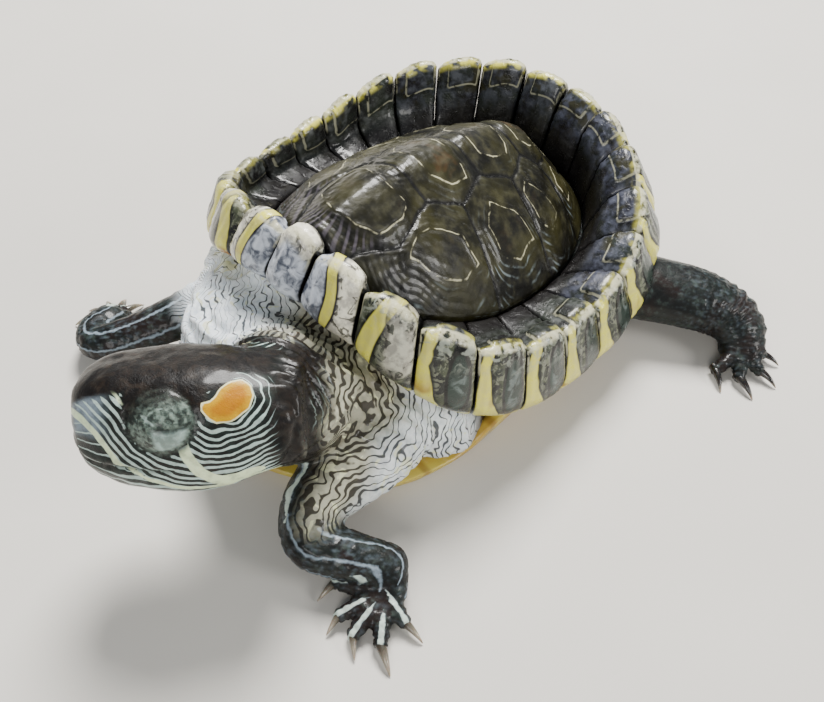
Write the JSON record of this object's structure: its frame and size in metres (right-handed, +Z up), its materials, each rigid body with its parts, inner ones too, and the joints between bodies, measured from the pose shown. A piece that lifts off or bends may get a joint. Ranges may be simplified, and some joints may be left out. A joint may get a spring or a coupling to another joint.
{
  "type": "red-eared slider turtle",
  "caption": "Life-size pond turtle at rest, its shell rim curled up into a bowl round the dome, head turned to its right with both eyes shut, limbs spread on the floor",
  "frame": {"origin": "on the floor under the middle of the shell, on the underside of the belly plate", "axes": "+Z up, the animal faces -Y, its left side is +X"},
  "size_m": [0.1586, 0.1792, 0.0535],
  "materials": {
    "carapace_horn": "wet dark olive horn",
    "rim_horn": "glossy green-grey horn with yellow bars",
    "plastron_horn": "satin yellow horn",
    "skin": "damp striped scaly skin",
    "eye": "wet gloss"
  },
  "bodies": {
    "root": {"nuchal": "rim_horn", "marginal_left_01": "rim_horn", "marginal_left_02": "rim_horn", "marginal_left_03": "rim_horn", "marginal_left_04": "rim_horn", "marginal_left_05": "rim_horn", "marginal_left_06": "rim_horn", "marginal_left_07": "rim_horn", "marginal_left_08": "rim_horn", "marginal_left_09": "rim_horn", "marginal_left_10": "rim_horn", "marginal_left_11": "rim_horn", "marginal_left_12": "rim_horn", "marginal_right_01": "rim_horn", "marginal_right_02": "rim_horn", "marginal_right_03": "rim_horn", "marginal_right_04": "rim_horn", "marginal_right_05": "rim_horn", "marginal_right_06": "rim_horn", "marginal_right_07": "rim_horn", "marginal_right_08": "rim_horn", "marginal_right_09": "rim_horn", "marginal_right_10": "rim_horn", "marginal_right_11": "rim_horn", "marginal_right_12": "rim_horn", "vertebral_1": "carapace_horn", "vertebral_2": "carapace_horn", "vertebral_3": "carapace_horn", "vertebral_4": "carapace_horn", "vertebral_5": "carapace_horn", "costal_left_1": "carapace_horn", "costal_left_2": "carapace_horn", "costal_left_3": "carapace_horn", "costal_left_4": "carapace_horn", "costal_right_1": "carapace_horn", "costal_right_2": "carapace_horn", "costal_right_3": "carapace_horn", "costal_right_4": "carapace_horn", "plastron": "plastron_horn", "trunk": "skin", "upper_arm_left": "skin", "forearm_left": "skin", "hand_left": "skin", "upper_arm_right": "skin", "forearm_right": "skin", "hand_right": "skin", "thigh_left": "skin", "shank_left": "skin", "foot_left": "skin", "thigh_right": "skin", "shank_right": "skin", "foot_right": "skin", "tail": "skin", "head": "skin", "jaw": "skin", "neck": "skin", "eye_left": "eye", "eye_right": "eye"}
  },
  "joints": []
}
